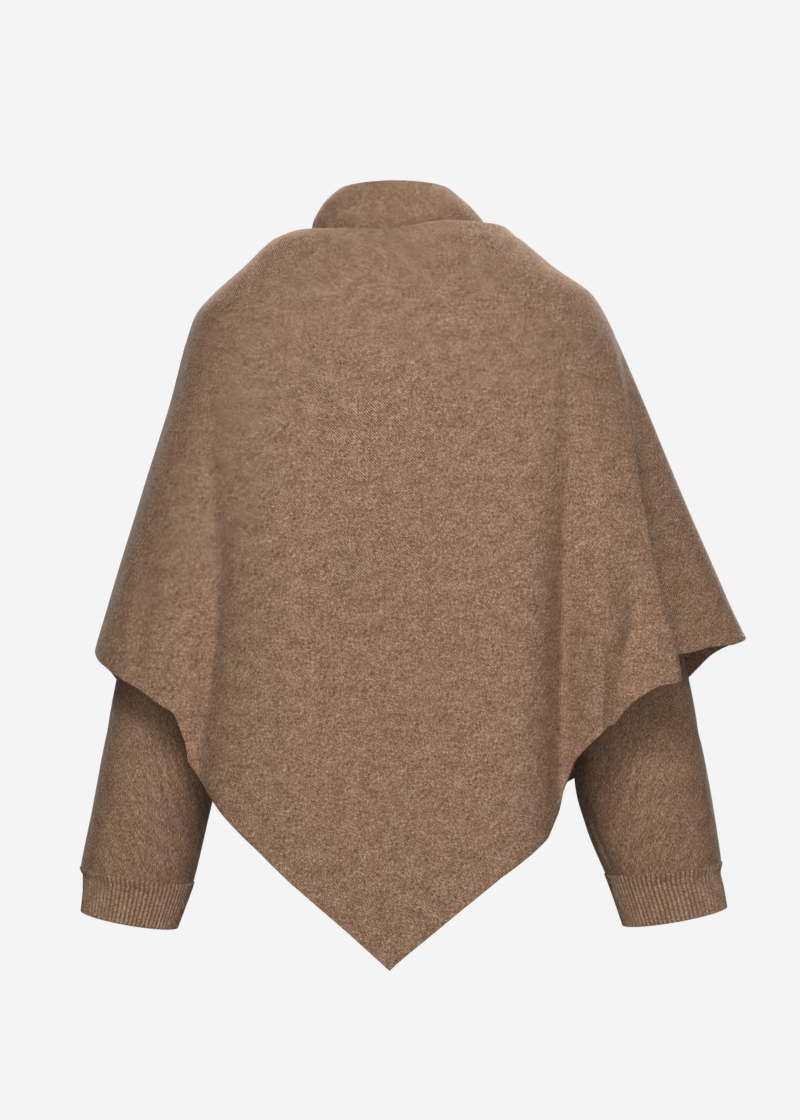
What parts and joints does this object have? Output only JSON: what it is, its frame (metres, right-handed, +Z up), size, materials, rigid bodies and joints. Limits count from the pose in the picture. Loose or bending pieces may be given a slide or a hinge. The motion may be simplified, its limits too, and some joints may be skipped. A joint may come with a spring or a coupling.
{
  "type": "poncho with sleeves",
  "caption": "Felted knit poncho that hangs as a diamond, with a funnel collar and long sleeves with ribbed cuffs, filled out as worn.",
  "frame": {"origin": "middle of the neck's base, where the wearer's shoulders and neck hold the garment", "axes": "+Z up, +Y the way the wearer faces, so the back with its point faces -Y; +X is the right side in a view of the back"},
  "size_m": [0.6723, 0.3004, 0.7676],
  "materials": {
    "felted_knit": "matt, brushed and lightly felted",
    "ribbed_knit": "matt 1x1 rib"
  },
  "bodies": {
    "root": {"cape_back": "felted_knit", "cape_front": "felted_knit", "collar": "felted_knit", "body_back": "felted_knit", "body_front": "felted_knit", "sleeve_left": "felted_knit", "sleeve_right": "felted_knit", "cuff_left": "ribbed_knit", "cuff_right": "ribbed_knit"}
  },
  "joints": []
}
